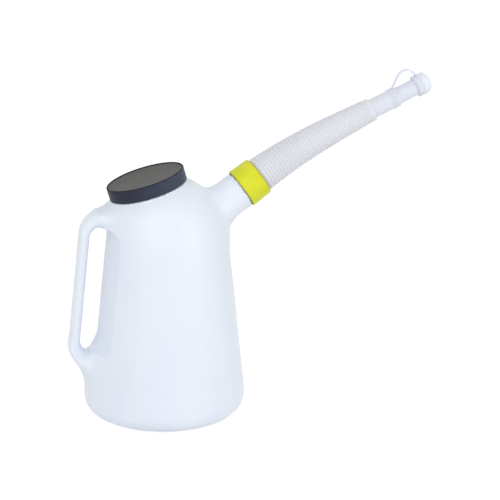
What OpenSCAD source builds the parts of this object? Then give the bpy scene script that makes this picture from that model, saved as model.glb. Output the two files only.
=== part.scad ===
// Measuring jug: a blown body with a hollow handle, a screw lid that leans towards the handle,
// and a flexible corrugated spout with a small captive cap, held on by a collar nut.
// Millimetres. +Z is up, +X points to the spout, and the origin is on the floor under the body.

/* [Body] */
// Radius of the body just above its foot
body_r = 100; // [92:1:110]
// Rounding between the foot and the wall
foot_round = 20; // [14:1:26]
// Radius of the long curve that eases the foot into the tapered wall
belly_r = 150; // [120:5:200]
// Radius of the dome that closes the body
dome_r = 81.8; // [78:0.2:86]
// Height of the centre of the dome
dome_z = 215.5; // [205:0.5:230]
// Thickness of the blown wall
wall = 2.2; // [1.6:0.1:2.8]
// Height of the hollow under the base
push_up = 5; // [3:0.5:8]
// Width of the ring that the jug stands on
foot_ring = 9; // [6:0.5:14]

/* [Handle] */
// Radius of the round ends of the finger slot
slot_r = 17; // [15:0.5:20]
// Distance of the upper end of the slot from the body's axis
slot_top_x = 80; // [76:0.5:86]
// Height of the centre of the slot's upper end
slot_top_z = 231.5; // [222:0.5:236]
// Distance of the lower end of the slot from the body's axis
slot_low_x = 93.5; // [88:0.5:98]
// Height of the centre of the slot's lower end
slot_low_z = 104.5; // [98:0.5:112]
// How far the rounded handle stands into the slot's outline
handle_lip = 1.2; // [0.8:0.1:2]
// Thickness of the grip, front to back
grip_t = 15.4; // [13:0.2:20]
// Width of the grip, side to side
grip_w = 27; // [22:0.5:32]
// Thickness of the upper arm where it reaches the body
arm_t = 27; // [24:0.5:30]
// Width of both arms where they reach the body
arm_w = 44; // [36:1:56]
// Distance of the flat under the lower arm from the slot's lower centre
heel_d = 34.1; // [32:0.2:38]
// Radius of the rib that carries the lower arm down to the foot
rib_r = 60; // [50:1:66]
// How far that rib stands out from the body
rib_proud = 5.7; // [4:0.1:8]

/* [Mouth and lid] */
// Lean of the mouth towards the handle, in degrees
lid_tilt = 15.8; // [12:0.2:18]
// Height at which the mouth's axis crosses the body's axis
mouth_z = 224.9; // [220:0.5:230]
// Distance from that crossing to the top of the lid
lid_top = 85.6; // [83:0.2:90]
// Outer radius of the lid
lid_r = 49.6; // [48:0.2:52]
// Height of the lid's skirt
lid_h = 16.2; // [14:0.2:19]
// Thickness of the lid's skirt
lid_wall = 1.9; // [1.5:0.1:2.4]
// Thickness of the lid's plate
lid_plate = 2.4; // [2:0.1:3]
// Width of the raised rim round the lid's top
lid_rim = 2.6; // [2:0.1:4]
// Depth of the lid's top inside the rim
lid_dish = 0.7; // [0.4:0.1:1]
// Room for the threads between the lid's skirt and the mouth's neck
lid_room = 2.4; // [2:0.1:3.4]
// How far the bead under the lid stands out past the skirt
bead_out = 0.4; // [0.2:0.1:1.2]
// Space between the lid's skirt and the bead
bead_gap = 0.8; // [0.5:0.1:1.5]
// Radius of the curve that takes the mouth's bead into the dome
shoulder_r = 60; // [52:1:66]
// Thickness of the lid's seal
seal_t = 1.4; // [1:0.1:2]
// Width of the lid's seal
seal_w = 4.8; // [4:0.1:6]

/* [Spout neck and nut] */
// Rise of the spout's neck above the floor's plane, in degrees
spout_tilt = 34.4; // [31:0.5:38]
// Distance from the dome's centre to the lower rim of the nut
nut_reach = 121.8; // [119:0.2:126]
// Outer radius of the nut at the hose
nut_r = 25.7; // [25:0.1:27]
// How far the nut widens towards the body
nut_flare = 0.8; // [0.4:0.1:1.2]
// Length of the nut
nut_len = 28.2; // [25:0.2:30]
// Thickness of the nut's wall
nut_wall = 1.7; // [1.4:0.1:2]
// Thickness of the nut's lip over the hose
nut_lip = 2.5; // [2:0.1:3]
// Outer radius of the spout's neck below the nut
spout_r = 24.3; // [23.6:0.1:24.8]
// Room for the threads between the nut and the spout's neck
nut_room = 1.9; // [1.6:0.1:2.3]
// Radius of the curve from the spout's neck into the dome
flare_r = 40; // [34:1:46]
// Thickness of the sealing washer on the spout's neck
washer_t = 1.6; // [1.2:0.1:2]

/* [Hose] */
// Length of the hose from the nut to the end of its cuff
hose_len = 168.5; // [160:0.5:190]
// Direction of the hose's end above the floor's plane, in degrees
hose_end_tilt = 24.1; // [18:0.1:28]
// Crest radius of the hose at the nut
hose_r0 = 23.2; // [22.8:0.1:24]
// Crest radius of the hose at the cuff
hose_r1 = 15.4; // [15.2:0.1:16.6]
// Number of ribs along the hose
hose_ribs = 39; // [30:1:44]
// Depth of the grooves between the ribs
rib_depth = 1.3; // [1:0.1:1.8]
// Thickness of the hose's wall
hose_wall = 1.1; // [0.9:0.1:1.4]
// Length of the smooth cuff at the hose's far end
cuff_len = 6; // [5:0.5:10]
// Radius of the smooth sleeve that passes the nut's lip
sleeve_r = 21.3; // [20.8:0.1:21.5]
// Play between the hose's flange and the nut around it
flange_play = 0.4; // [0.3:0.05:0.8]
// Thickness of that flange
flange_t = 3; // [2.4:0.1:4]

/* [Nozzle, cap and strap] */
// Radius of the nozzle where it enters the hose's cuff
nozzle_r0 = 12.6; // [12:0.1:12.8]
// Radius of the nozzle at its tip
nozzle_r1 = 10.7; // [10.4:0.1:11]
// Length of the nozzle beyond the cuff, its end hidden in the cap
nozzle_len = 76; // [72:0.2:78]
// Length of the nozzle inside the cuff
nozzle_in = 10; // [8:0.5:14]
// Thickness of the nozzle's wall
nozzle_wall = 1.4; // [1.1:0.1:1.7]
// Distance of the thin bead from the cuff
bead_at = 27.4; // [25:0.1:30]
// Length of the seat for the strap's ring
seat_len = 5.2; // [4:0.2:8]
// Distance from the hose's cuff to the end of the cap
cap_end = 84.6; // [80:0.2:88]
// Outer radius of the cap
cap_r = 14; // [13.4:0.1:14.4]
// Length of the cap's wide part
cap_len = 12.4; // [11:0.2:16]
// Thickness of the cap's wall
cap_wall = 1.5; // [1.2:0.1:1.8]
// Length of the narrow collar at the cap's open end
cap_neck = 7.4; // [6:0.1:9]
// Radius of the rounding at the cap's closed end
cap_round = 8; // [6:0.5:9]
// Thickness of the strap's rings
ring_t = 1; // [0.8:0.1:1.3]
// Width of the strap's band
band_w = 5; // [4:0.2:7]
// Thickness of the strap's band
band_t = 1.5; // [1.2:0.1:2]
// Height of the strap's arch above the nozzle's axis
arch_h = 25.4; // [23:0.2:28]
// How far that arch leans towards the cap
arch_lean = 4.4; // [3:0.2:6]

/* [Hidden] */
fine = 96;
// Clearance between pieces that move past each other
slip = 0.3;
// Overrun of a cutting shape past the surface that it cuts
over = 2;
// How far a swept root runs on inside the piece that it joins
sunk = 1.2;

// Body outline, worked out from the circles that its straight wall touches
belly_x = body_r - belly_r;
wall_dx = belly_r - body_r;
wall_dz = dome_z - foot_round;
taper = atan2(wall_dz, wall_dx) - acos((belly_r - dome_r) / norm([wall_dx, wall_dz]));
ring_out = body_r - foot_round;
ring_in = ring_out - foot_ring;

// Rib under the handle
rib_x = body_r + rib_proud - rib_r;
rib_round = foot_round * 1.25;
rib_lift = wall * 0.8;

// Mouth, as distances along its own axis from where it crosses the body's axis
lid_low = lid_top - lid_h;
bead_top = lid_low - bead_gap;
neck_top = lid_top - lid_plate - seal_t;
neck_r = lid_r - lid_wall - lid_room;
bead_r = lid_r + bead_out;
neck_bore = neck_r - wall;
shoulder_x = bead_r - shoulder_r * cos(54);
shoulder_h = bead_top - wall - shoulder_r * sin(54);

// Spout's neck, as distances along its own axis from the dome's centre
nut_top = nut_reach + nut_len;
rim_at = nut_top - nut_lip - flange_t - washer_t;
flare_y = spout_r + flare_r;
flare_at = sqrt(pow(dome_r - sunk + flare_r, 2) - pow(flare_y, 2));
flare_turn = acos(flare_y / (dome_r - sunk + flare_r)) + 4;
nut_bore = nut_r - nut_wall;
thread_r = nut_bore - nut_room;
flange_r = nut_bore - flange_play;
spout_bore = thread_r - wall;

// Hose route: its direction eases from the neck's to the nozzle's
rings_per_rib = 2;
hose_sides = 24;
wave_shares = [1, 0];
// How much the pitch of the ribs closes up towards the cuff
pitch_share = 0.037;
rib_run = hose_len - cuff_len;
ring_count = hose_ribs * rings_per_rib;
function ring_at(i) = rib_run * i / ring_count * (1 + pitch_share * (1 - i / ring_count));
function hose_tilt(s) = hose_end_tilt + (spout_tilt - hose_end_tilt) * pow(1 - s / hose_len, 2);
function along(rise, run) = [run * cos(rise), 0, run * sin(rise)];
hose_start = [0, 0, dome_z] + along(spout_tilt, nut_top + slip);
hose_route = [for (i = 0, p = hose_start; i <= ring_count;
    p = p + along(hose_tilt(ring_at(i + 0.5)), ring_at(i + 1) - ring_at(i)), i = i + 1) p];
cuff_start = hose_route[ring_count];
cuff_end = cuff_start + along(hose_end_tilt, cuff_len);

// Nozzle, cap and strap, as distances along the nozzle's axis from the end of the cuff
cuff_r = hose_r1 - rib_depth * 0.15;
cuff_bore = nozzle_r0 + slip;
seat_from = bead_at + nozzle_wall * 3;
seat_to = seat_from + seat_len;
seat_r = nozzle_r0 - nozzle_wall * 0.5;
tube_r = nozzle_r1 + nozzle_wall * 0.2;
cap_plate = cap_wall * 1.1;
cap_from = cap_end - cap_len;
collar_from = cap_from - cap_neck;
collar_bore = tube_r + slip;
collar_r = collar_bore + cap_wall;
plug_r = nozzle_r1 - nozzle_wall - slip;
plug_in = plug_r * 0.25;
strap_seat_r = seat_r + slip;
strap_cap_r = collar_r + slip;

// Points of an arc about [x, y], from angle a to angle b, in n steps
function arc(x, y, r, a, b, n) = [for (i = [0:n]) let(t = a + (b - a) * i / n)
    [x + r * cos(t), y + r * sin(t)]];

// Skin of a tube through closed rings of points, all with the same number of points
module sweep(rings) {
    sides = len(rings[0]);
    last = len(rings) - 1;
    polyhedron(
        points = [for (ring = rings) each ring],
        faces = [
            [for (k = [0:sides - 1]) k],
            for (i = [0:last - 1]) for (k = [0:sides - 1]) let(a = i * sides + k,
                b = i * sides + (k + 1) % sides) each [[a, a + sides, b], [b, a + sides, b + sides]],
            [for (k = [sides - 1:-1:0]) last * sides + k]
        ]);
}

module mouth_frame() {
    translate([0, 0, mouth_z])
        rotate([0, -lid_tilt, 0])
            children();
}

module spout_frame() {
    translate([0, 0, dome_z])
        rotate([0, 90 - spout_tilt, 0])
            children();
}

module nozzle_frame() {
    translate(cuff_end)
        rotate([0, 90 - hose_end_tilt, 0])
            children();
}

// The body's round form, drawn in from its outside by skin
module body_form(skin) {
    rotate_extrude($fn = fine)
        polygon(concat(
            [[0, skin]],
            arc(ring_out, foot_round, foot_round - skin, -90, 0, 6),
            arc(belly_x, foot_round, belly_r - skin, taper / 3, taper, 2),
            arc(0, dome_z, dome_r - skin, taper, 88, 18),
            [[0, dome_z + dome_r - skin]]
        ));
}

// The shoulder, bead and threaded neck of the mouth
module mouth_form(skin) {
    bore = skin > 0 ? neck_top + over : neck_top;
    mouth_frame()
        rotate_extrude($fn = fine)
            polygon(concat(
                [[0, shoulder_h - shoulder_r * sin(8)]],
                arc(shoulder_x, shoulder_h, shoulder_r - skin, -8, 54, 9),
                [[bead_r - skin, bead_top - skin], [neck_r - skin, bead_top - skin]],
                [[neck_r - skin, bore], [0, bore]]
            ));
}

// The neck that the nut screws on to, flaring into the dome
module spout_form(skin) {
    rim = skin > 0 ? rim_at + over : rim_at;
    flare_end = flare_at - (flare_r + skin) * sin(flare_turn);
    root = flare_end - dome_r * 0.3;
    root_r = flare_y - (flare_r + skin) * cos(flare_turn);
    step = nut_reach - slip * 2 - skin;
    spout_frame()
        rotate_extrude($fn = fine)
            polygon(concat(
                [[0, root], [root_r, root]],
                [for (i = [8:-1:0]) let(t = flare_turn * i / 8)
                    [flare_y - (flare_r + skin) * cos(t), flare_at - (flare_r + skin) * sin(t)]],
                [[spout_r - skin, step], [thread_r - skin, step]],
                [[thread_r - skin, rim], [0, rim]]
            ));
}

// The upright rib between the handle's lower arm and the foot
module rib_form(skin) {
    translate([-rib_x, 0, 0])
        rotate_extrude($fn = fine)
            polygon(concat(
                [[0, rib_lift + skin]],
                arc(rib_r - rib_round, rib_lift + rib_round, rib_round - skin, -90, 0, 6),
                [[rib_r - skin, slot_low_z - heel_d - slot_r * 0.5], [rib_r * 0.7, slot_low_z]],
                [[0, slot_low_z]]
            ));
}

// The finger slot, which also takes a flat off the back of the body
module slot_form(skin) {
    r = slot_r + skin;
    rotate([90, 0, 0])
        linear_extrude(height = body_r * 2, center = true)
            polygon(concat(
                arc(-slot_top_x, slot_top_z, r, lean_face - 180, lean_face, 16),
                arc(-slot_low_x, slot_low_z, r, lean_face, lean_face + 180, 16)
            ));
}

// Handle stations, as angles round the two ends of the slot, with thickness and width there
lean_face = 180 - atan2(slot_low_x - slot_top_x, slot_top_z - slot_low_z);
heel_face = lean_face + 34;
inner_r = slot_r - handle_lip;
grip_d = inner_r + grip_t;
top_angles = [94, 106, 118, 130, 142, 154, 165, lean_face];
low_angles = [lean_face, 184, 194, 204, 214, 226, 238, 250];
function swell(angle, power) = pow(min(1, abs(angle - lean_face) / 80), power);
function top_t(angle) = grip_t + (arm_t - grip_t) * swell(angle, 1.5);
function low_t(angle) = min(grip_d / cos(angle - lean_face), heel_d / cos(angle - heel_face)) - inner_r;
function arm_wide(angle) = grip_w + (arm_w - grip_w) * swell(angle, 2.5);
top_roots = [[arm_t * 0.8, 1.25], [arm_t * 1.7, 1.4]];
low_roots = [[arm_t * 0.7, 1.05], [arm_t * 1.2, 1.1]];
function station(x, z, angle, t, w) = [x + (inner_r + t / 2) * cos(angle),
    z + (inner_r + t / 2) * sin(angle), angle, t, w];
function run_on(from, run, grow, turn) = [from[0] + run * cos(from[2] + turn),
    from[1] + run * sin(from[2] + turn), from[2], from[3] * grow, from[4] * grow];
top_stations = [for (a = top_angles) station(-slot_top_x, slot_top_z, a, top_t(a), arm_wide(a))];
low_stations = [for (a = low_angles) station(-slot_low_x, slot_low_z, a, low_t(a), arm_wide(a))];
handle_stations = concat(
    [for (i = [len(top_roots) - 1:-1:0])
        run_on(top_stations[0], top_roots[i][0], top_roots[i][1], -90)],
    top_stations,
    low_stations,
    [for (root = low_roots)
        run_on(low_stations[len(low_stations) - 1], root[0], root[1], 90)]);
handle_sides = 14;
function rounded(v) = sign(v) * pow(abs(v), 0.8);

// The hollow handle, swept round the slot
module handle_form(skin) {
    sweep([for (s = handle_stations) [for (k = [0:handle_sides - 1]) let(
        turn = 360 * (k + 0.5) / handle_sides,
        out = (s[3] / 2 - skin) * rounded(cos(turn)),
        side = (s[4] / 2 - skin) * rounded(sin(turn)))
        [s[0] + out * cos(s[2]), side, s[1] + out * sin(s[2])]]]);
}

// The hollow pushed up under the base
module base_hollow(skin) {
    rotate_extrude($fn = fine)
        polygon([[0, -over], [ring_in + skin + over, -over],
            [ring_in + skin - push_up, push_up + skin], [0, push_up + skin]]);
}

// Everything that the lid and its skirt need clear above the bead
module lid_space(skin) {
    mouth_frame()
        translate([0, 0, bead_top - skin])
            cylinder(r = bead_r + arm_t, h = lid_h * 2, $fn = fine);
}

module jug_form(skin) {
    difference() {
        union() {
            body_form(skin);
            rib_form(skin);
            mouth_form(skin);
            spout_form(skin);
        }
        slot_form(skin);
    }
    difference() {
        handle_form(skin);
        lid_space(skin);
    }
}

module jug() {
    color([0.91, 0.93, 0.97])
        difference() {
            jug_form(0);
            base_hollow(0);
            difference() {
                jug_form(wall);
                base_hollow(wall);
            }
        }
}

module lid() {
    under = lid_top - lid_plate;
    bore = lid_r - lid_wall;
    edge = lid_dish;
    color([0.27, 0.27, 0.29])
        mouth_frame()
            rotate_extrude($fn = fine)
                polygon([[0, under], [bore, under], [bore, lid_low], [lid_r - edge, lid_low],
                    [lid_r, lid_low + edge], [lid_r, lid_top - edge * 2], [lid_r - edge, lid_top],
                    [lid_r - lid_rim, lid_top], [lid_r - lid_rim - edge, lid_top - lid_dish],
                    [0, lid_top - lid_dish]]);
}

module lid_seal() {
    seal_r = lid_r - lid_wall - slip;
    color([0.85, 0.85, 0.83])
        mouth_frame()
            translate([0, 0, neck_top])
                difference() {
                    cylinder(r = seal_r, h = seal_t, $fn = fine);
                    translate([0, 0, -over])
                        cylinder(r = seal_r - seal_w, h = seal_t + over * 2, $fn = fine);
                }
}

module collar_nut() {
    edge = nut_wall * 0.4;
    color([0.83, 0.83, 0.25])
        spout_frame()
            rotate_extrude($fn = fine)
                polygon([[nut_bore, nut_reach], [nut_r + nut_flare - edge, nut_reach],
                    [nut_r + nut_flare, nut_reach + edge], [nut_r, nut_top - edge * 2],
                    [nut_r - edge, nut_top], [sleeve_r + slip, nut_top],
                    [sleeve_r + slip, nut_top - nut_lip], [nut_bore, nut_top - nut_lip]]);
}

module spout_washer() {
    color([0.3, 0.3, 0.3])
        spout_frame()
            translate([0, 0, rim_at])
                difference() {
                    cylinder(r = thread_r, h = washer_t, $fn = fine);
                    translate([0, 0, -over])
                        cylinder(r = spout_bore, h = washer_t + over * 2, $fn = fine);
                }
}

// Corrugated stretch of the hose, drawn in from its outside by skin and run on at both ends
module hose_form(skin, run_out) {
    function ring(p, rise, r) = [for (k = [0:hose_sides - 1]) let(turn = 360 * k / hose_sides)
        p + r * [-sin(rise) * cos(turn), -sin(turn), cos(rise) * cos(turn)]];
    function crest(i) = hose_r0 + (hose_r1 - hose_r0) * i / ring_count;
    function ring_r(i) = crest(i) - rib_depth * (1 - wave_shares[i % rings_per_rib]) - skin;
    rings = [for (i = [1:ring_count]) ring(hose_route[i], hose_tilt(ring_at(i)), ring_r(i))];
    first_tilt = hose_tilt(ring_at(1));
    first = ring(hose_route[1] - along(first_tilt, run_out), first_tilt, ring_r(1));
    final = ring(cuff_start + along(hose_end_tilt, run_out), hose_end_tilt, ring_r(ring_count));
    sweep(run_out > 0 ? concat([first], rings, [final]) : rings);
}

// Sleeve and flange at the nut, turned on the neck's axis
module hose_root() {
    flange_from = nut_top - nut_lip - flange_t;
    root_bore = sleeve_r - hose_wall;
    root_end = nut_top + slip * 2 + ring_at(1);
    spout_frame()
        rotate_extrude($fn = fine)
            polygon([[root_bore, flange_from], [flange_r, flange_from],
                [flange_r, flange_from + flange_t], [sleeve_r, flange_from + flange_t],
                [sleeve_r, root_end], [root_bore, root_end]]);
}

// Smooth cuff that grips the nozzle
module hose_cuff() {
    round_r = cuff_r - cuff_bore - hose_wall;
    nozzle_frame()
        rotate_extrude($fn = fine)
            polygon(concat(
                [[cuff_bore, -cuff_len - sunk], [cuff_r, -cuff_len - sunk]],
                arc(cuff_r - round_r, -round_r, round_r, 0, 90, 4),
                [[cuff_bore, 0]]
            ));
}

module hose() {
    color([0.87, 0.87, 0.88]) {
        difference() {
            hose_form(0, 0);
            hose_form(hose_wall, over);
        }
        hose_root();
        hose_cuff();
    }
}

module nozzle() {
    tip_in = nozzle_r1 - nozzle_wall;
    bead_r2 = nozzle_r0 + nozzle_wall * 0.6;
    edge = nozzle_wall * 0.3;
    color([0.88, 0.88, 0.9])
        nozzle_frame()
            rotate_extrude($fn = fine)
                polygon([
                    [nozzle_r0 - nozzle_wall, -nozzle_in], [nozzle_r0, -nozzle_in],
                    [nozzle_r0 - nozzle_wall * 0.2, bead_at],
                    [bead_r2, bead_at + nozzle_wall * 0.4],
                    [bead_r2, bead_at + nozzle_wall],
                    [seat_r, bead_at + nozzle_wall * 1.4],
                    [seat_r, seat_to + slip],
                    [tube_r, seat_to + nozzle_wall * 1.6],
                    [nozzle_r1, nozzle_len - edge], [nozzle_r1 - edge, nozzle_len],
                    [tip_in, nozzle_len], [tube_r - nozzle_wall, seat_to],
                    [seat_r - nozzle_wall, bead_at]]);
}

module tip_cap() {
    edge = cap_wall * 0.4;
    inside = cap_end - cap_plate;
    bore = cap_r - cap_wall;
    round_x = cap_r - cap_round;
    round_in = cap_round - cap_plate;
    plug_foot = acos(max(0, (plug_r - round_x) / round_in));
    plug_bore = plug_r - cap_wall * 0.7;
    plug_from = nozzle_len - plug_in;
    color([0.86, 0.89, 0.95])
        nozzle_frame()
            rotate_extrude($fn = fine)
                polygon(concat(
                    [[collar_bore, collar_from], [collar_r, collar_from], [collar_r, cap_from],
                        [cap_r - edge, cap_from], [cap_r, cap_from + edge]],
                    arc(round_x, cap_end - cap_round, cap_round, 0, 90, 6),
                    [[0, cap_end], [0, inside], [plug_bore, inside], [plug_bore, plug_from],
                        [plug_r, plug_from]],
                    arc(round_x, inside - round_in, round_in, plug_foot, 0, 4),
                    [[bore, cap_from + cap_wall], [collar_bore, cap_from]]
                ));
}

// One moulding: a ring on the nozzle, a ring on the cap's collar and the arched band between
module cap_strap() {
    seat_ring = [strap_seat_r, seat_from - slip, seat_len - slip];
    cap_ring = [strap_cap_r, collar_from + slip, cap_neck - slip * 2];
    low = [strap_seat_r + ring_t * 0.5, seat_to - seat_len * 0.2];
    high = [strap_cap_r + ring_t * 0.5, collar_from + cap_neck * 0.8];
    steps = 20;
    // Height and reach of the arch, which rises from its two feet and leans towards the cap
    function foot(s) = low + (high - low) * s;
    arch = [for (i = [0:steps]) let(t = 180 - 180 * i / steps, s = (1 + cos(t)) / 2,
        lean = arch_lean * (sin(t) - sin(2 * t) / 5))
        [foot(s)[0] + (arch_h - low[0]) * pow(sin(t), 1.6), foot(s)[1] + lean]];
    function heading(i) = let(a = arch[max(0, i - 1)], b = arch[min(steps, i + 1)],
        d = b - a) d / norm(d);
    color([0.88, 0.88, 0.9])
        nozzle_frame() {
            for (ring = [seat_ring, cap_ring])
                translate([0, 0, ring[1]])
                    difference() {
                        cylinder(r = ring[0] + ring_t, h = ring[2], $fn = fine);
                        translate([0, 0, -over])
                            cylinder(r = ring[0], h = ring[2] + over * 2, $fn = fine);
                    }
            sweep([for (i = [0:steps]) let(h = heading(i), p = arch[i], x = h[1] * band_t / 2,
                z = -h[0] * band_t / 2, y = band_w / 2)
                [[-p[0] - x, -y, p[1] + z], [-p[0] + x, -y, p[1] - z],
                    [-p[0] + x, y, p[1] - z], [-p[0] - x, y, p[1] + z]]]);
        }
}

jug();
lid();
lid_seal();
collar_nut();
spout_washer();
hose();
nozzle();
tip_cap();
cap_strap();
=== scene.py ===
import math
import bpy
import numpy as np
from mathutils import Matrix, Vector


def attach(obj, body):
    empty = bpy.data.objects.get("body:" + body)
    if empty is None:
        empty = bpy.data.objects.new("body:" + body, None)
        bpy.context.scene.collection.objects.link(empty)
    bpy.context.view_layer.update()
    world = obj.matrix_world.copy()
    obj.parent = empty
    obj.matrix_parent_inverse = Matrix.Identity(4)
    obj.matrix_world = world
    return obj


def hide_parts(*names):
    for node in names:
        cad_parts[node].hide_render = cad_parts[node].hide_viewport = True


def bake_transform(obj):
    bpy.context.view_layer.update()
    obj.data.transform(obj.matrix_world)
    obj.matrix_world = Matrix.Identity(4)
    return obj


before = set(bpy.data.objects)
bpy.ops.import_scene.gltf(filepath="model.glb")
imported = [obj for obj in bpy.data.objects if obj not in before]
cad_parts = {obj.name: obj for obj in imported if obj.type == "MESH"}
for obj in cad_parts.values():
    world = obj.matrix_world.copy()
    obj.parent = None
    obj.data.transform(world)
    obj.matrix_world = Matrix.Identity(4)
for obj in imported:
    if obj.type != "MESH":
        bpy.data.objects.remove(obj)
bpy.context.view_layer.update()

MM = 0.001
TURN = 2 * math.pi


# Camera
def camera():
    az, el = math.radians(-15.68), math.radians(14.72)
    back = Vector((math.sin(az) * math.cos(el), -math.cos(az) * math.cos(el), math.sin(el)))
    right = Vector((math.cos(az), math.sin(az), 0))
    up = back.cross(right)
    data = bpy.data.cameras.new("camera")
    data.sensor_width = 36
    data.lens = 101.17
    obj = bpy.data.objects.new("camera", data)
    target = Vector((112.04, 0, 203.63)) * MM
    m = Matrix((right, up, back)).transposed().to_4x4()
    m.translation = target + back * 1.8
    obj.matrix_world = m
    bpy.context.scene.collection.objects.link(obj)
    bpy.context.scene.camera = obj


camera()


# Sizes, in mm. They are the solids' own, but the foot's rounding, the finger slot and the grip
# follow the photograph more closely.
WALL = 2.2
DOME_R, DOME_Z = 81.8, 215.5
BODY_R, FOOT, BELLY = 100, 23, 150
SLOT_TOP, SLOT_LOW, SLOT_R = (-79.8, 233.6), (-95.4, 104.5), 15.3
LEAN = 180 - math.degrees(math.atan2(SLOT_TOP[0] - SLOT_LOW[0], SLOT_TOP[1] - SLOT_LOW[1]))
GRIP_IN, GRIP_OUT = 15.0, 28.6
HEEL_FACE, HEEL_OUT = (-0.852, -0.523), 34.5
RIB_BLEND, MOUTH_BLEND, SPOUT_BLEND, SLOT_BLEND, HANDLE_BLEND = 8, 6, 8, 2, 9
MOUTH = Matrix.Translation((0, 0, 224.9)) @ Matrix.Rotation(math.radians(-15.8), 4, "Y")
RISE, END_RISE = 34.4, 24.1
SPOUT = Matrix.Translation((0, 0, DOME_Z)) @ Matrix.Rotation(math.radians(90 - RISE), 4, "Y")
NUT_LOW, NUT_TOP = 121.8, 150
HOSE_AT, HOSE_LEN, CUFF = NUT_TOP + 0.3, 168.5, 6


def rise_at(s):
    if s <= 0:
        return RISE
    return END_RISE + (RISE - END_RISE) * (1 - min(s, HOSE_LEN) / HOSE_LEN) ** 2


def hose_route(step=0.25):
    """Points along the hose's middle line, one each step, from the nut's top to the cuff's end."""
    p = np.array([math.cos(math.radians(RISE)), math.sin(math.radians(RISE))]) * HOSE_AT
    p[1] += DOME_Z
    pts = [p.copy()]
    for i in range(int(HOSE_LEN / step)):
        a = math.radians(rise_at((i + 0.5) * step))
        p = p + np.array([math.cos(a), math.sin(a)]) * step
        pts.append(p.copy())
    return np.array(pts), step


ROUTE, ROUTE_STEP = hose_route()
NOZZLE = Matrix.Translation((ROUTE[-1][0], 0, ROUTE[-1][1])) @ Matrix.Rotation(
    math.radians(90 - END_RISE), 4, "Y")


# Mesh helpers
def new_object(name, verts, faces, sharp=32):
    """An object of that mesh, its points given in mm."""
    mesh = bpy.data.meshes.new(name)
    verts = np.asarray(verts, float) * MM
    mesh.from_pydata(verts.tolist(), [], [list(map(int, f)) for f in faces])
    mesh.validate()
    mesh.update()
    obj = bpy.data.objects.new(name, mesh)
    bpy.context.scene.collection.objects.link(obj)
    smooth(obj, sharp)
    return obj


def smooth(obj, sharp=32):
    obj.data.polygons.foreach_set("use_smooth", [True] * len(obj.data.polygons))
    obj.data.set_sharp_from_angle(angle=math.radians(sharp))
    obj.data.update()


def placed(verts, m):
    v = np.asarray(verts, float)
    r = np.array(m)[:3, :3]
    return v @ r.T + np.array(m)[:3, 3]


def rounded(points, closed=True, steps=4):
    """The outline with its corners rounded: each point is (r, h) or (r, h, radius)."""
    n = len(points)
    out = []
    for i, p in enumerate(points):
        radius = p[2] if len(p) > 2 else 0
        b = np.array(p[:2], float)
        if not radius or (not closed and i in (0, n - 1)):
            out.append(tuple(b))
            continue
        a = np.array(points[i - 1][:2], float)
        c = np.array(points[(i + 1) % n][:2], float)
        u, v = (a - b) / np.linalg.norm(a - b), (c - b) / np.linalg.norm(c - b)
        half = math.acos(max(-1, min(1, float(u @ v)))) / 2
        cut = min(radius / math.tan(half), 0.49 * np.linalg.norm(a - b), 0.49 * np.linalg.norm(c - b))
        for k in range(steps + 1):
            t = k / steps
            q = b + u * cut * (1 - t) ** 2 + v * cut * t ** 2
            out.append(tuple(q))
    return out


def lathe(outline, m, sides=128, wave=None):
    """Points and faces of a closed outline turned about the local Z axis of m.
    wave(angle, r, h) gives an extra radius, for ribs on a grip."""
    n = len(outline)
    verts, faces = [], []
    ring = np.array(outline, float)
    for k in range(sides):
        a = TURN * k / sides
        r = ring[:, 0]
        if wave:
            r = r + np.array([wave(a, p[0], p[1]) for p in outline])
        verts.append(np.stack([r * math.cos(a), r * math.sin(a), ring[:, 1]], 1))
    verts = np.concatenate(verts)
    for k in range(sides):
        j = (k + 1) % sides
        for i in range(n):
            q = (i + 1) % n
            if outline[i][0] < 1e-9 and outline[q][0] < 1e-9:
                continue
            quad = [k * n + i, j * n + i, j * n + q, k * n + q]
            if outline[i][0] < 1e-9:
                quad = [k * n + i, j * n + q, k * n + q]
            elif outline[q][0] < 1e-9:
                quad = [k * n + i, j * n + i, k * n + q]
            faces.append(quad)
    # points on the axis are one point
    axis = {}
    remap = np.arange(len(verts))
    for idx in np.where(np.hypot(verts[:, 0], verts[:, 1]) < 1e-9)[0]:
        key = round(float(verts[idx, 2]), 6)
        remap[idx] = axis.setdefault(key, idx)
    faces = [[int(remap[i]) for i in f] for f in faces]
    return placed(verts, m), faces


def helix(radius, height, low, pitch, turns, width, m, sides=72, inward=False):
    """Points and faces of a screw thread's ridge that fades out at both ends."""
    n = int(sides * turns)
    verts, faces = [], []
    for k in range(n + 1):
        a = TURN * k / sides
        fade = min(1, k / 8, (n - k) / 8)
        z = low + pitch * k / sides
        top = radius + (-height if inward else height) * fade
        root = radius + (0.3 if inward else -0.3)
        for r, dz in ((root, -width / 2), (top, -width / 5), (top, width / 5), (root, width / 2)):
            verts.append((r * math.cos(a), r * math.sin(a), z + dz))
    for k in range(n):
        for i in range(4):
            j = (i + 1) % 4
            faces.append([k * 4 + i, k * 4 + 4 + i, k * 4 + 4 + j, k * 4 + j])
    faces.append([3, 2, 1, 0])
    faces.append([n * 4, n * 4 + 1, n * 4 + 2, n * 4 + 3])
    if inward:
        faces = [f[::-1] for f in faces]
    return placed(verts, m), faces


def joined(*parts):
    verts, faces, n = [], [], 0
    for v, f in parts:
        verts.append(np.asarray(v))
        faces += [[i + n for i in face] for face in f]
        n += len(v)
    return np.concatenate(verts), faces


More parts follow.
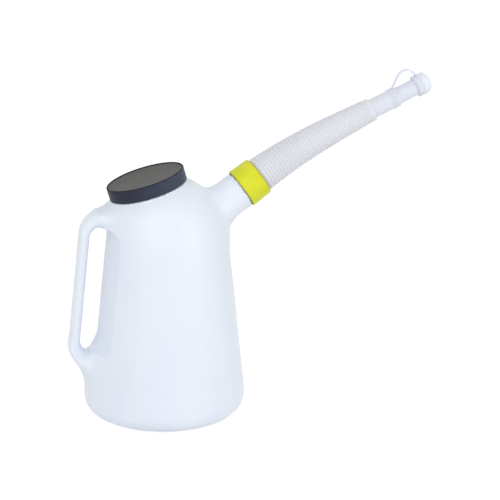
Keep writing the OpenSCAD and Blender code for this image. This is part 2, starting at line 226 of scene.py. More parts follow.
# The jug's blown skin
class Table:
    """Signed distance to an outline, kept on a fine grid and read by interpolation."""

    def __init__(self, lo, hi, step, values):
        self.lo, self.step = np.array(lo, float), step
        self.v = values

    @classmethod
    def grid(cls, lo, hi, step):
        a = np.arange(lo[0], hi[0] + step, step)
        b = np.arange(lo[1], hi[1] + step, step)
        return np.meshgrid(a, b, indexing="ij")

    def __call__(self, x, z):
        nx, nz = self.v.shape
        fx = np.clip((x - self.lo[0]) / self.step, 0, nx - 1.001)
        fz = np.clip((z - self.lo[1]) / self.step, 0, nz - 1.001)
        i, j = fx.astype(int), fz.astype(int)
        u, w = fx - i, fz - j
        v = self.v
        return ((v[i, j] * (1 - u) + v[i + 1, j] * u) * (1 - w)
                + (v[i, j + 1] * (1 - u) + v[i + 1, j + 1] * u) * w)


def outline_table(pts, lo, hi, step=0.5):
    """Distance to a turned form's outline. Edges on the axis don't count."""
    x, z = Table.grid(lo, hi, step)
    best = np.full(x.shape, 1e9)
    inside = np.zeros(x.shape, bool)
    for (ax, az), (bx, bz) in zip(pts, pts[1:] + pts[:1]):
        ex, ez = bx - ax, bz - az
        long2 = ex * ex + ez * ez
        if long2 < 1e-12:
            continue
        cross = (az > z) != (bz > z)
        if cross.any():
            inside ^= cross & (x < ax + ex * (z - az) / (ez if abs(ez) > 1e-12 else 1e-12))
        if ax < 1e-9 and bx < 1e-9:
            continue
        t = np.clip(((x - ax) * ex + (z - az) * ez) / long2, 0, 1)
        best = np.minimum(best, (x - ax - ex * t) ** 2 + (z - az - ez * t) ** 2)
    d = np.sqrt(best)
    return Table(lo, hi, step, np.where(inside, -d, d))


def arc(x, y, r, a, b, n):
    return [(x + r * math.cos(math.radians(a + (b - a) * i / n)),
             y + r * math.sin(math.radians(a + (b - a) * i / n))) for i in range(n + 1)]


def smin(a, b, k):
    h = np.maximum(k - np.abs(a - b), 0) / k
    return np.minimum(a, b) - h * h * k / 4


def smax(a, b, k):
    return -smin(-a, -b, k)


def body_table():
    dx, dz = BELLY - BODY_R, DOME_Z - FOOT
    taper = math.degrees(math.atan2(dz, dx) - math.acos((BELLY - DOME_R) / math.hypot(dx, dz)))
    base = [(0, 5.0), (62, 5.0), (66.5, 4.2), (69.5, 1.6), (72.5, 0.2), (76, 0)]
    pts = (base + arc(BODY_R - FOOT, FOOT, FOOT, -90, 0, 24) + arc(BODY_R - BELLY, FOOT, BELLY, 0.3, taper, 12)
           + arc(0, DOME_Z, DOME_R, taper, 90, 90))
    return outline_table(pts, (0, -12), (120, 312))


def rib_table():
    pts = ([(0, 1.8)] + arc(60 - 25, 26.8, 25, -90, 0, 24)
           + [(60, 60.0), (58, 74.0), (42, 104.5), (0, 104.5)])
    return outline_table(pts, (0, -12), (110, 150))


def mouth_table():
    r = 60
    x0, h0 = 50 - r * math.cos(math.radians(54)), 66.4 - r * math.sin(math.radians(54))
    pts = ([(0, h0 - 8)] + arc(x0, h0, r, -8, 54, 40)
           + [(50.15, 67.0), (50.2, 68.0), (49.6, 68.5), (44, 68.5), (44, 72), (0, 72)])
    return outline_table(pts, (0, -20), (110, 100))


def spout_table():
    flare_r, r = 40, 24.3
    y = r + flare_r
    reach = DOME_R - 1.2 + flare_r
    at = math.sqrt(reach ** 2 - y ** 2)
    turn = math.degrees(math.acos(y / reach)) + 3
    pts = [(0, 40), (y - flare_r * math.cos(math.radians(turn)), 40)]
    pts += [(y - flare_r * math.cos(math.radians(turn * i / 40)),
             at - flare_r * math.sin(math.radians(turn * i / 40))) for i in range(40, -1, -1)]
    pts += [(r, 121.3), (r - 0.4, 121.7), (0, 121.7)]
    return outline_table(pts, (0, 20), (110, 160))


def handle_stations():
    """Along the handle: middle (x, z), outward angle, thickness, width."""
    def wide(a):
        return 27 + 17 * min(1, abs(a - LEAN) / 80) ** 2.5

    def station(c, a, t):
        q = math.radians(a)
        mid = GRIP_IN + t / 2
        return [c[0] + mid * math.cos(q), c[1] + mid * math.sin(q), a, t, wide(a)]

    def high_t(a):
        k = max(0, LEAN - a) / 80
        return GRIP_OUT - GRIP_IN + 5.5 * k ** 1.2 + 2 * k ** 6

    def low_t(a):
        k = (a - LEAN) / 78
        return GRIP_OUT - GRIP_IN + 33 * k * k * (3 - 2 * k)

    top = [station(SLOT_TOP, a, high_t(a)) for a in np.arange(94, LEAN, 4)]
    grip_run = [station((SLOT_TOP[0] + (SLOT_LOW[0] - SLOT_TOP[0]) * t,
                         SLOT_TOP[1] + (SLOT_LOW[1] - SLOT_TOP[1]) * t), LEAN, GRIP_OUT - GRIP_IN)
                for t in np.linspace(0, 1, 14)]
    low = [station(SLOT_LOW, a, low_t(a)) for a in np.arange(LEAN + 3, 251, 4)]
    first, last = top[0], low[-1]

    def on(s, run, grow, side):
        q = math.radians(s[2] + side)
        return [s[0] + run * math.cos(q), s[1] + run * math.sin(q), s[2], s[3] * grow, s[4] * grow]

    roots = [on(first, run, grow, -90) for run, grow in ((48, 1.75), (34, 1.6), (20, 1.4), (9, 1.17))]
    ends = [on(last, run, 1, 90) for run in (10, 22, 34)]
    return np.array(roots + top + grip_run + low + ends)


def handle_tables():
    st = handle_stations()
    lo, hi, step = (-140, 20), (10, 305), 1.0
    x, z = Table.grid(lo, hi, step)
    best = np.full(x.shape, 1e9)
    keep = [np.zeros(x.shape) for _ in range(4)]
    for i in range(len(st) - 1):
        a, b = st[i], st[i + 1]
        ex, ez = b[0] - a[0], b[1] - a[1]
        long = math.hypot(ex, ez)
        raw = ((x - a[0]) * ex + (z - a[1]) * ez) / long ** 2
        t = np.clip(raw, 0, 1)
        px, pz = a[0] + ex * t, a[1] + ez * t
        d = (x - px) ** 2 + (z - pz) ** 2
        take = d < best
        best = np.where(take, d, best)
        ang = np.radians(a[2] + (b[2] - a[2]) * t)
        out = (x - px) * np.cos(ang) + (z - pz) * np.sin(ang)
        past = np.full(x.shape, -30.0)
        if i == 0:
            past = -raw * long
        if i == len(st) - 2:
            past = (raw - 1) * long
        for arr, val in zip(keep, (out, a[3] + (b[3] - a[3]) * t, a[4] + (b[4] - a[4]) * t, past)):
            arr[take] = np.broadcast_to(val, x.shape)[take]
    return [Table(lo, hi, step, k) for k in keep]


BODY_T, RIB_T, MOUTH_T, SPOUT_T = body_table(), rib_table(), mouth_table(), spout_table()
HANDLE_T = handle_tables()
MOUTH_IN = np.array(MOUTH.inverted())
SPOUT_IN = np.array(SPOUT.inverted())


def local(m, x, y, z):
    u = m[0, 0] * x + m[0, 2] * z + m[0, 3]
    h = m[2, 0] * x + m[2, 2] * z + m[2, 3]
    return np.hypot(u, y), h


def handle_field(x, y, z):
    out, t, w, past = (table(x, z) for table in HANDLE_T)
    a, b, p = t / 2, w / 2, 2.5
    ax, by = np.abs(out) / a, np.abs(y) / b
    g = (ax ** p + by ** p) ** (1 / p) + 1e-9
    slope = np.hypot((ax / g) ** (p - 1) / a, (by / g) ** (p - 1) / b)
    return np.maximum((g - 1) / np.maximum(slope, 0.02), past)


def slot_field(x, z):
    ex, ez = SLOT_LOW[0] - SLOT_TOP[0], SLOT_LOW[1] - SLOT_TOP[1]
    t = np.clip(((x - SLOT_TOP[0]) * ex + (z - SLOT_TOP[1]) * ez) / (ex * ex + ez * ez), 0, 1)
    return np.hypot(x - SLOT_TOP[0] - ex * t, z - SLOT_TOP[1] - ez * t) - SLOT_R


def jug_field(x, y, z):
    f = BODY_T(np.hypot(x, y), z)
    f = smin(f, RIB_T(np.hypot(x + 45.7, y), z), RIB_BLEND)
    ru, h = local(MOUTH_IN, x, y, z)
    mouth = MOUTH_T(ru, h)
    f = smin(f, mouth, MOUTH_BLEND)
    f = smin(f, SPOUT_T(*local(SPOUT_IN, x, y, z)), SPOUT_BLEND)
    f = smax(f, -slot_field(x, z), SLOT_BLEND)
    handle = handle_field(x, y, z)
    handle = smax(handle, h - 66.5, 4)
    u, v, q = x - SLOT_LOW[0], z - SLOT_LOW[1], math.radians(LEAN)
    slant = HEEL_FACE[0] * u + HEEL_FACE[1] * v - HEEL_OUT
    heel = smax(slant, math.cos(q) * u + math.sin(q) * v - GRIP_OUT - 0.4, 7)
    handle = smax(handle, heel + 9 * np.abs(y / 22) ** 3, 2.5)
    return smax(smin(f, handle, HANDLE_BLEND), -z, 0.5)


def surface_net(f, level, lo, step):
    """Quads round the zero of a field sampled on a grid."""
    f = f - level
    s = f < 0
    n = np.array(f.shape) - 1
    cells = [(dx, dy, dz) for dx in (0, 1) for dy in (0, 1) for dz in (0, 1)]

    def corner(arr, c):
        return arr[c[0]:c[0] + n[0], c[1]:c[1] + n[1], c[2]:c[2] + n[2]]

    count = sum(corner(s, c).astype(np.int8) for c in cells)
    active = (count > 0) & (count < 8)
    index = np.full(count.shape, -1, np.int64)
    where = np.argwhere(active)
    index[active] = np.arange(len(where))
    total = np.zeros((len(where), 3))
    hits = np.zeros(len(where))
    vals = {c: corner(f, c)[active] for c in cells}
    for a in cells:
        for axis in range(3):
            if a[axis]:
                continue
            b = list(a)
            b[axis] = 1
            fa, fb = vals[a], vals[tuple(b)]
            cut = (fa < 0) != (fb < 0)
            t = fa[cut] / (fa[cut] - fb[cut])
            p = np.tile(np.array(a, float), (cut.sum(), 1))
            p[:, axis] += t
            total[cut] += p
            hits[cut] += 1
    verts = (where + total / hits[:, None]) * step + np.array(lo)
    faces = []
    for axis in range(3):
        o1, o2 = (axis + 1) % 3, (axis + 2) % 3
        a = s
        b = np.roll(s, -1, axis)
        edge = a != b
        sl = [slice(None)] * 3
        sl[axis] = slice(0, -1)
        sl[o1] = slice(1, -1)
        sl[o2] = slice(1, -1)
        pos = np.argwhere(edge[tuple(sl)])
        pos[:, o1] += 1
        pos[:, o2] += 1
        inside_first = s[tuple(pos.T)]
        quad = []
        for d1, d2 in ((1, 1), (0, 1), (0, 0), (1, 0)):
            q = pos.copy()
            q[:, o1] -= d1
            q[:, o2] -= d2
            quad.append(index[tuple(q.T)])
        quad = np.stack(quad, 1)
        quad[~inside_first] = quad[~inside_first][:, ::-1]
        faces.append(quad)
    return verts, np.concatenate(faces)


def settle(verts, faces, level, rounds=3):
    """Evens the mesh out and draws its points on to the true surface."""
    e = np.concatenate([faces[:, [0, 1]], faces[:, [1, 2]], faces[:, [2, 3]], faces[:, [3, 0]]])
    n = len(verts)
    for k in range(rounds):
        total = np.zeros((n, 3))
        hits = np.zeros(n)
        for i, j in ((0, 1), (1, 0)):
            np.add.at(total, e[:, i], verts[e[:, j]])
            np.add.at(hits, e[:, i], 1)
        verts = verts * 0.4 + 0.6 * total / hits[:, None]
        for _ in range(2):
            g = np.zeros((n, 3))
            d = 0.4
            for axis in range(3):
                step = np.zeros(3)
                step[axis] = d
                p, m = verts + step, verts - step
                g[:, axis] = (jug_field(*p.T) - jug_field(*m.T)) / (2 * d)
            f = jug_field(*verts.T) - level
            move = f / np.maximum((g ** 2).sum(1), 0.2)
            verts = verts - np.clip(move, -1.5, 1.5)[:, None] * g
    return verts


def boolean(obj, other, operation):
    mod = obj.modifiers.new("b", "BOOLEAN")
    mod.operation = operation
    mod.solver = "MANIFOLD"
    mod.object = other
    bpy.context.view_layer.update()
    deps = bpy.context.evaluated_depsgraph_get()
    mesh = bpy.data.meshes.new_from_object(obj.evaluated_get(deps))
    obj.modifiers.clear()
    old = obj.data
    obj.data = mesh
    bpy.data.meshes.remove(old)
    bpy.data.objects.remove(other)


def make_jug():
    step = 2.6
    lo = (-134, -112, -8)
    hi = (118, 112, 330)
    axes = [np.arange(a, b + step, step) for a, b in zip(lo, hi)]
    x, y, z = np.meshgrid(*axes, indexing="ij")
    f = jug_field(x, y, z)
    skins = []
    for level in (0, -WALL):
        v, q = surface_net(f, level, lo, step)
        v = settle(v, q, level)
        skins.append(new_object("skin", v, q, 180))
    jug, inner = skins

    def solid(outline, m, sides=128):
        v, q = lathe(outline, m, sides)
        return new_object("solid", v, q, 32)

    neck = rounded([(0, 58), (45.3, 58), (45.3, 82.1, 0.8), (0, 82.1)])
    stub = rounded([(0, 108), (22.1, 108), (22.1, 142.9, 0.6), (0, 142.9)])
    boolean(jug, solid(neck, MOUTH), "UNION")
    boolean(jug, solid(stub, SPOUT, 96), "UNION")
    boolean(inner, solid([(0, 40), (43.1, 40), (43.1, 95), (0, 95)], MOUTH), "UNION")
    boolean(inner, solid([(0, 80), (19.9, 80), (19.9, 155), (0, 155)], SPOUT, 96), "UNION")
    boolean(jug, inner, "DIFFERENCE")
    jug.name = "jug_skin"
    smooth(jug, 38)
    return jug


jug = make_jug()
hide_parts("jug")
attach(jug, "jug")


def thread(name, args, body, kw):
    v, q = helix(*args, **kw)
    o = new_object(name, v, q, 40)
    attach(o, body)
    return o


mouth_thread = thread("mouth_thread", (45.3, 1.8, 70.8, 6, 1.7, 2.4, MOUTH), "jug", {})
spout_thread = thread("spout_thread", (22.1, 1.4, 126.5, 5, 2.6, 2.0, SPOUT), "jug", {})


# Lid, seal, nut, washer
def piece(name, outline, m, node, body, sides=128, wave=None, extra=(), sharp=32):
    v, q = joined(lathe(outline, m, sides, wave), *extra)
    o = new_object(name, v, q, sharp)
    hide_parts(node)
    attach(o, body)
    return o


lid_outline = rounded([
    (0, 83.2), (47.7, 83.2, 0.6), (47.7, 69.4), (49.3, 69.4, 0.4), (49.55, 70.0, 0.3), (49.6, 84.6, 0.7),
    (49.0, 85.7, 0.6), (48.2, 85.7, 0.3), (47.6, 84.6, 0.3), (0, 84.6)])
lid_ridge = helix(47.7, 1.7, 74.2, 6, 1.4, 2.2, MOUTH, inward=True)
lid = piece("screw_lid", lid_outline, MOUTH, "lid", "lid", 160, extra=(lid_ridge,))
seal_outline = rounded([(42.6, 82.1, 0.3), (47.4, 82.1, 0.3), (47.4, 83.2, 0.3), (42.6, 83.2, 0.3)])
seal = piece("seal_ring", seal_outline, MOUTH, "lid_seal", "lid_carrier")


def nut_ribs(a, r, h):
    """Fine ribs along the nut's outside."""
    if r < 25.0 or h < NUT_LOW + 2.2 or h > NUT_TOP - 2.2:
        return 0
    return -0.1 + 0.1 * math.cos(a * 60)


nut_outline = rounded([(24.0, NUT_LOW, 0.2), (25.8, NUT_LOW, 0.5), (26.45, NUT_LOW + 0.8, 0.5)]
                      + [(26.42 - 0.03 * k, NUT_LOW + 1.6 + k) for k in range(25)]
                      + [(25.5, NUT_TOP - 0.7, 0.7), (24.8, NUT_TOP, 0.5), (21.6, NUT_TOP, 0.3),
                         (21.6, NUT_TOP - 2.5), (24.0, NUT_TOP - 2.5, 0.4)])
nut_ridge = helix(24.0, 1.2, NUT_LOW + 2.2, 5, 2.4, 1.9, SPOUT, inward=True)
nut = piece("nut_ring", nut_outline, SPOUT, "collar_nut", "collar_nut", 360,
            nut_ribs, (nut_ridge,))
washer_outline = rounded([(19.9, 142.9), (22.1, 142.9, 0.3), (22.1, 144.5, 0.3), (19.9, 144.5)])
washer = piece("washer_ring", washer_outline, SPOUT, "spout_washer", "spout_carrier", 96)


# Hose
RIBS, RIB_RUN = 39, HOSE_LEN - CUFF


def hose_ring(t):
    """Place and outer radius at t, counted in ribs: a groove lies halfway between two whole numbers."""
    u = t / RIBS
    s = RIB_RUN * u * (1 + 0.037 * (1 - u))
    groove = 0.5 - 0.5 * math.cos(TURN * t)
    return s, 23.2 - 7.8 * u - (1.0 - 0.5 * u) * groove ** 2.4


def hose_mesh(sides=72, per_rib=10):
    outer = [(-5.8, 22.0), (-5.8, 23.3), (-5.5, 23.6), (-3.1, 23.6), (-2.8, 23.4), (-2.8, 21.3), (0.4, 21.3)]
    inner = [(-5.8, 20.2), (0.4, 20.2)]
    for i in range(per_rib // 2 - 1, RIBS * per_rib - 1):
        s, r = hose_ring(i / per_rib)
        outer.append((s, r))
        if i % 2 == 0:
            inner.append((s, r - 1.1))
    cuff_r = 15.2
    outer += [(RIB_RUN + t, cuff_r) for t in (-0.3, 0.5, 2, 3.6, 4.8)]
    turned = [math.radians(a) for a in (20, 40, 60, 80, 90)]
    outer += [(RIB_RUN + 4.8 + 1.2 * math.sin(a), cuff_r - 1.2 + 1.2 * math.cos(a)) for a in turned]
    inner += [(RIB_RUN + 0.5, 12.9), (HOSE_LEN, 12.9)]
    loop = outer + inner[::-1]
    verts = []
    for s, r in loop:
        if s <= 0:
            a = math.radians(RISE)
            c = ROUTE[0] + np.array([math.cos(a), math.sin(a)]) * s
        else:
            k = min(s / ROUTE_STEP, len(ROUTE) - 1.001)
            i = int(k)
            c = ROUTE[i] * (1 - (k - i)) + ROUTE[i + 1] * (k - i)
            a = math.radians(rise_at(s))
        for j in range(sides):
            q = TURN * j / sides
            side = r * math.cos(q)
            verts.append((c[0] - side * math.sin(a), -r * math.sin(q), c[1] + side * math.cos(a)))
    faces = []
    m = len(loop)
    for i in range(m):
        for j in range(sides):
            faces.append([i * sides + j, ((i + 1) % m) * sides + j,
                          ((i + 1) % m) * sides + (j + 1) % sides, i * sides + (j + 1) % sides])
    return verts, faces


v, q = hose_mesh()
hose = new_object("ribbed_hose", v, q, 60)
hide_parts("hose")
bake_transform(hose)


# Nozzle, cap, strap
nozzle_outline = rounded([
    (11.2, -10), (12.6, -10, 0.4), (12.5, 0.2), (12.32, 27.0, 0.5), (13.42, 27.9, 0.5), (13.42, 28.7, 0.5),
    (11.95, 29.3, 0.5), (11.9, 36.9, 0.4), (11.0, 39.0, 0.8), (10.7, 75.6, 0.4), (10.3, 76, 0.3),
    (9.3, 76, 0.3), (9.58, 36.8, 2), (10.5, 27.4, 2)])
nozzle = piece("nozzle_tube", nozzle_outline, NOZZLE, "nozzle", "nozzle", 96)
cap_outline = (rounded([(10.9, 72.2, 0.3), (10.9, 64.3, 0.2), (12.78, 65.2, 0.3), (12.78, 72.1, 0.2),
                        (13.5, 72.2, 0.4), (13.95, 73.0, 0.4), (14.0, 76.6)], False)
               + arc(6, 76.6, 8, 3, 90, 20) + [(0, 84.6), (0, 82.95)]
               + rounded([(7.95, 82.95, 0.3), (7.95, 73.75, 0.3), (9.0, 73.75, 0.3), (9.0, 82.2)], False)
               + arc(6, 76.6, 6.35, 55, 0, 8) + [(12.5, 73.7)])
cap = piece("cap_shell", cap_outline, NOZZLE, "tip_cap", "tip_cap", 96)


def strap_mesh():
    ring1 = rounded([(11.98, 28.8, 0.3), (13.0, 28.8, 0.5), (13.1, 36.6, 0.6), (11.98, 36.6, 0.3)])
    ring2 = rounded([(12.8, 65.0, 0.2), (14.0, 65.4, 0.8), (14.0, 72.0, 0.6), (12.8, 72.0, 0.3)])
    n = 40
    low, high = (12.9, 36.4), (13.5, 70.8)
    line = []
    for i in range(n + 1):
        t = math.pi * (1 - i / n)
        s = (1 + math.cos(t)) / 2
        line.append((low[0] + (high[0] - low[0]) * s + (26.3 - low[0]) * max(0, math.sin(t)) ** 1.6,
                     low[1] + (high[1] - low[1]) * s + 4.4 * (math.sin(t) - math.sin(2 * t) / 5)))
    line = np.array(line)
    verts, faces = [], []
    loop = []
    for a in range(16):
        c, s = math.cos(TURN * a / 16), math.sin(TURN * a / 16)
        loop.append((1.1 * math.copysign(abs(c) ** 0.6, c), 2.5 * math.copysign(abs(s) ** 0.4, s)))
    for i in range(n + 1):
        d = line[min(n, i + 1)] - line[max(0, i - 1)]
        d /= np.linalg.norm(d)
        for o, y in loop:
            verts.append((-(line[i][0] + d[1] * o), y, line[i][1] - d[0] * o))
    m = len(loop)
    for i in range(n):
        for j in range(m):
            faces.append([i * m + j, i * m + (j + 1) % m, (i + 1) * m + (j + 1) % m, (i + 1) * m + j])
    faces.append(list(range(m))[::-1])
    faces.append([n * m + j for j in range(m)])
    return joined((placed(verts, NOZZLE), faces), lathe(ring1, NOZZLE, 96), lathe(ring2, NOZZLE, 96))


v, q = strap_mesh()
strap = new_object("strap_band", v, q, 50)
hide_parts("cap_strap")
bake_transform(strap)


# Materials
def linear(c):
    return [((v / 255 + 0.055) / 1.055) ** 2.4 if v > 10 else v / 255 / 12.92 for v in c] + [1]


BLACK, WHITE = (0, 0, 0, 1), (1, 1, 1, 1)


class Nodes:
    """A material's node tree, with short calls to add to it."""

    def __init__(self, name):
        self.mat = bpy.data.materials.new(name)
        self.mat.use_nodes = True
        self.t = self.mat.node_tree
        self.bsdf = self.t.nodes["Principled BSDF"]

    def add(self, kind, **values):
        n = self.t.nodes.new(kind)
        for k, v in values.items():
            if k in n.inputs:
                n.inputs[k].default_value = v
            else:
                setattr(n, k, v)
        return n

    def link(self, a, b):
        self.t.links.new(a, b)

    def place(self, scale=(1, 1, 1)):
        co = self.add("ShaderNodeTexCoord")
        m = self.add("ShaderNodeMapping")
        m.inputs["Scale"].default_value = scale
        self.link(co.outputs["Object"], m.inputs["Vector"])
        return m.outputs["Vector"]

    def noise(self, scale, detail=3.0, where=None):
        n = self.add("ShaderNodeTexNoise", Scale=scale, Detail=detail)
        self.link(where or self.place(), n.inputs["Vector"])
        return n.outputs["Fac"]

    def ramp(self, fac, stops):
        n = self.add("ShaderNodeValToRGB")
        el = n.color_ramp.elements
        while len(el) < len(stops):
            el.new(0.5)
        for e, (p, c) in zip(el, stops):
            e.position, e.color = p, c
        self.link(fac, n.inputs["Fac"])
        return n.outputs["Color"]

    def bump(self, height, strength, distance):
        n = self.add("ShaderNodeBump", Strength=strength, Distance=distance)
        self.link(height, n.inputs["Height"])
        self.link(n.outputs["Normal"], self.bsdf.inputs["Normal"])


def milky(name, light, dark, rough, scatter):
    m = Nodes(name)
    n = m.noise(18, 4, m.place((1, 1, 0.35)))
    m.link(m.ramp(n, [(0.3, linear(dark)), (0.7, linear(light))]), m.bsdf.inputs["Base Color"])
    r = m.ramp(m.noise(60, 3), [(0.3, [rough - 0.04] * 3 + [1]), (0.7, [rough + 0.05] * 3 + [1])])
    m.link(r, m.bsdf.inputs["Roughness"])
    m.bsdf.inputs["Subsurface Weight"].default_value = scatter
    m.bsdf.inputs["Subsurface Radius"].default_value = (1.0, 1.0, 1.0)
    m.bsdf.inputs["Subsurface Scale"].default_value = 0.006
    m.bsdf.inputs["IOR"].default_value = 1.5
    m.bump(m.noise(900, 2), 0.04, 0.0002)
    return m.mat


def from_axis(m, about):
    """Distance from a form's middle line, and height along it, in metres."""
    co = m.add("ShaderNodeTexCoord")
    turn = about.to_euler()
    back = m.add("ShaderNodeMapping")
    back.vector_type = "TEXTURE"
    back.inputs["Location"].default_value = about.translation * MM
    back.inputs["Rotation"].default_value = turn
    m.link(co.outputs["Object"], back.inputs["Vector"])
    parts = m.add("ShaderNodeSeparateXYZ")
    m.link(back.outputs["Vector"], parts.inputs[0])
    flat = m.add("ShaderNodeVectorMath", operation="MULTIPLY")
    m.link(back.outputs["Vector"], flat.inputs[0])
    flat.inputs[1].default_value = (1, 1, 0)
    size = m.add("ShaderNodeVectorMath", operation="LENGTH")
    m.link(flat.outputs["Vector"], size.inputs[0])
    return size.outputs["Value"], parts.outputs["Z"]


def spread(m, value, low, high):
    n = m.add("ShaderNodeMapRange")
    n.inputs["From Min"].default_value = low
    n.inputs["From Max"].default_value = high
    m.link(value, n.inputs["Value"])
    return n.outputs["Result"]


def dark_plastic():
    m = Nodes("dark_lid_plastic")
    n = m.noise(45, 4)
    top = m.ramp(n, [(0.3, linear((70, 70, 66))), (0.7, linear((78, 78, 74)))])
    # Painted sheen: the lid's side is painted darker towards -X and lighter towards +X, as light falls on that
    # side.
    co = m.add("ShaderNodeTexCoord")
    parts = m.add("ShaderNodeSeparateXYZ")
    m.link(co.outputs["Object"], parts.inputs[0])
    painted_sheen = m.add("ShaderNodeMix", data_type="RGBA")
    m.link(spread(m, parts.outputs["X"], -0.07, 0.03), painted_sheen.inputs["Factor"])
    m.link(m.ramp(n, [(0.3, linear((22, 25, 38))), (0.7, linear((28, 32, 46)))]), painted_sheen.inputs[6])
    m.link(m.ramp(n, [(0.3, linear((56, 62, 82))), (0.7, linear((64, 71, 92)))]), painted_sheen.inputs[7])
    side = painted_sheen.outputs[2]
    away, _ = from_axis(m, MOUTH)
    at = spread(m, away, 0.0462, 0.0502)
    rim = m.ramp(at, [(0.25, BLACK), (0.31, WHITE)])
    # Painted shade: a near-black band over the rim, between the lid's top and its side, where the rim's walls
    # lie in shadow; its specular is lowered too.
    edge = m.ramp(at, [(0.27, BLACK), (0.33, WHITE), (0.76, WHITE), (0.82, BLACK)])
    dark = m.add("ShaderNodeMix", data_type="RGBA")
    m.link(edge, dark.inputs["Factor"])
    m.link(side, dark.inputs[6])
    dark.inputs[7].default_value = linear((14, 15, 19))
    side = dark.outputs[2]
    shine = m.ramp(edge, [(0.0, (0.3, 0.3, 0.3, 1)), (1.0, (0.1, 0.1, 0.1, 1))])
    m.link(shine, m.bsdf.inputs["Specular IOR Level"])
    both = m.add("ShaderNodeMix", data_type="RGBA")
    m.link(rim, both.inputs["Factor"])
    m.link(top, both.inputs[6])
    m.link(side, both.inputs[7])
    m.link(both.outputs[2], m.bsdf.inputs["Base Color"])
    r = m.ramp(m.noise(300, 2), [(0.3, [0.5] * 3 + [1]), (0.7, [0.6] * 3 + [1])])
    m.link(r, m.bsdf.inputs["Roughness"])
    m.bump(m.noise(2200, 2), 0.25, 0.0002)
    return m.mat


def nut_plastic():
    m = Nodes("bright_nut_plastic")
    n = m.noise(35, 3)
    tone = m.ramp(n, [(0.3, linear((214, 215, 18))), (0.7, linear((226, 226, 44)))])
    _, up = from_axis(m, SPOUT)
    # Painted shade: both ends of the nut are painted a darker olive, where its edges turn away from the light.
    ends = m.ramp(spread(m, up, NUT_LOW * MM, NUT_TOP * MM),
                  [(0.0, WHITE), (0.06, BLACK), (0.95, BLACK), (1.0, WHITE)])
    both = m.add("ShaderNodeMix", data_type="RGBA")
    m.link(ends, both.inputs["Factor"])
    m.link(tone, both.inputs[6])
    both.inputs[7].default_value = linear((168, 166, 24))
    m.link(both.outputs[2], m.bsdf.inputs["Base Color"])
    r = m.ramp(m.noise(120, 2), [(0.3, [0.28] * 3 + [1]), (0.7, [0.36] * 3 + [1])])
    m.link(r, m.bsdf.inputs["Roughness"])
    m.bsdf.inputs["Specular IOR Level"].default_value = 0.35
    m.bsdf.inputs["Subsurface Weight"].default_value = 0.2
    m.bsdf.inputs["Subsurface Radius"].default_value = (1.0, 0.9, 0.3)
    m.bsdf.inputs["Subsurface Scale"].default_value = 0.002
    m.bump(m.noise(900, 2), 0.05, 0.0002)
    return m.mat


def rubber(name, tone):
    m = Nodes(name)
    n = m.noise(150, 4)
    lo, hi = [max(0, c - 6) for c in tone], [min(255, c + 6) for c in tone]
    m.link(m.ramp(n, [(0.3, linear(lo)), (0.7, linear(hi))]), m.bsdf.inputs["Base Color"])
    m.bsdf.inputs["Roughness"].default_value = 0.75
    m.bump(m.noise(1500, 2), 0.3, 0.0002)
    return m.mat


def paint(obj, mat):
    obj.data.materials.clear()
    obj.data.materials.append(mat)


body_mat = milky("milky_body_plastic", (239, 245, 255), (235, 241, 254), 0.42, 0.35)
hose_mat = milky("milky_hose_plastic", (231, 230, 236), (225, 224, 230), 0.42, 0.25)
nozzle_mat = milky("milky_nozzle_plastic", (232, 235, 244), (226, 229, 239), 0.34, 0.3)
cap_mat = milky("milky_cap_plastic", (240, 246, 255), (236, 242, 255), 0.34, 0.3)
for o in (jug, mouth_thread, spout_thread):
    paint(o, body_mat)
paint(hose, hose_mat)
paint(nozzle, nozzle_mat)
paint(strap, milky("milky_strap_plastic", (229, 232, 241), (223, 226, 236), 0.4, 0.2))
paint(cap, cap_mat)
paint(lid, dark_plastic())
paint(nut, nut_plastic())
paint(seal, rubber("seal_foam", (228, 227, 222)))
paint(washer, rubber("washer_rubber", (60, 60, 60)))


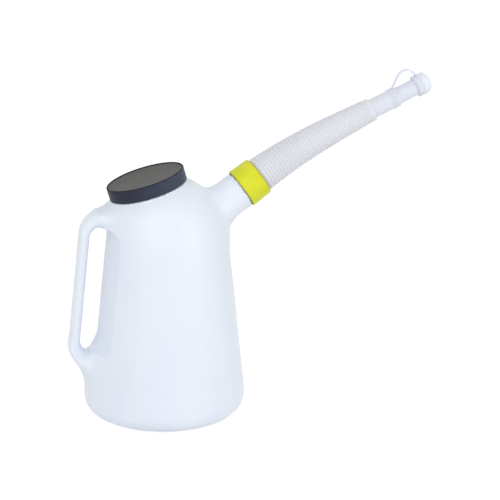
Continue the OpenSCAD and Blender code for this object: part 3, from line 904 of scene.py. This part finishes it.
# Floor, world, lamps
def stage():
    mesh = bpy.data.meshes.new("floor")
    n, r = 64, 8.0
    verts = [(0, 0, 0)] + [(r * math.cos(TURN * i / n), r * math.sin(TURN * i / n), 0) for i in range(n)]
    mesh.from_pydata(verts, [], [(0, i + 1, (i + 1) % n + 1) for i in range(n)])
    floor = bpy.data.objects.new("floor", mesh)
    bpy.context.scene.collection.objects.link(floor)
    m = Nodes("floor_white")
    m.bsdf.inputs["Roughness"].default_value = 0.9
    m.bsdf.inputs["Specular IOR Level"].default_value = 0.0
    m.bsdf.inputs["Base Color"].default_value = (0.88, 0.88, 0.88, 1)
    path = m.add("ShaderNodeLightPath")
    seen = m.add("ShaderNodeMath", operation="MAXIMUM")
    m.link(path.outputs["Is Camera Ray"], seen.inputs[0])
    m.link(path.outputs["Is Glossy Ray"], seen.inputs[1])
    seen2 = m.add("ShaderNodeMath", operation="MAXIMUM")
    m.link(seen.outputs[0], seen2.inputs[0])
    m.link(path.outputs["Is Transmission Ray"], seen2.inputs[1])
    diffuse = m.add("ShaderNodeBsdfDiffuse", Color=(0.42, 0.42, 0.42, 1))
    glow = m.add("ShaderNodeEmission", Strength=0.76)
    both = m.add("ShaderNodeAddShader")
    m.link(diffuse.outputs[0], both.inputs[0])
    m.link(glow.outputs[0], both.inputs[1])
    mix = m.add("ShaderNodeMixShader")
    m.link(seen2.outputs[0], mix.inputs[0])
    m.link(m.bsdf.outputs[0], mix.inputs[1])
    m.link(both.outputs[0], mix.inputs[2])
    m.link(mix.outputs[0], m.t.nodes["Material Output"].inputs["Surface"])
    floor.data.materials.append(m.mat)

    world = bpy.data.worlds.new("studio")
    world.use_nodes = True
    bpy.context.scene.world = world
    t = world.node_tree
    bg = t.nodes["Background"]
    path = t.nodes.new("ShaderNodeLightPath")
    top = t.nodes.new("ShaderNodeMath")
    top.operation = "MAXIMUM"
    t.links.new(path.outputs["Is Camera Ray"], top.inputs[0])
    t.links.new(path.outputs["Is Glossy Ray"], top.inputs[1])
    top2 = t.nodes.new("ShaderNodeMath")
    top2.operation = "MAXIMUM"
    t.links.new(top.outputs[0], top2.inputs[0])
    t.links.new(path.outputs["Is Transmission Ray"], top2.inputs[1])
    plain = t.nodes.new("ShaderNodeBackground")
    plain.inputs["Color"].default_value = (1, 1, 1, 1)
    plain.inputs["Strength"].default_value = 1.0
    bg.inputs["Color"].default_value = (0.94, 0.97, 1.0, 1)
    bg.inputs["Strength"].default_value = 0.7
    mix = t.nodes.new("ShaderNodeMixShader")
    t.links.new(top2.outputs[0], mix.inputs[0])
    t.links.new(bg.outputs[0], mix.inputs[1])
    t.links.new(plain.outputs[0], mix.inputs[2])
    t.links.new(mix.outputs[0], t.nodes["World Output"].inputs["Surface"])


def lamp(name, at, size, power, color=(1, 1, 1)):
    data = bpy.data.lights.new(name, "AREA")
    data.shape = "RECTANGLE"
    data.size, data.size_y = size
    data.energy = power
    data.color = color
    obj = bpy.data.objects.new(name, data)
    obj.location = at
    aim = Vector((0.05, 0, 0.2)) - Vector(at)
    obj.rotation_euler = aim.to_track_quat("-Z", "Y").to_euler()
    bpy.context.scene.collection.objects.link(obj)


stage()
lamp("key", (-1.5, -2.1, 1.5), (1.4, 1.4), 21.5)
lamp("fill", (1.9, -1.9, 0.9), (1.2, 1.6), 14.5)
scene = bpy.context.scene
scene.view_settings.view_transform = "Standard"
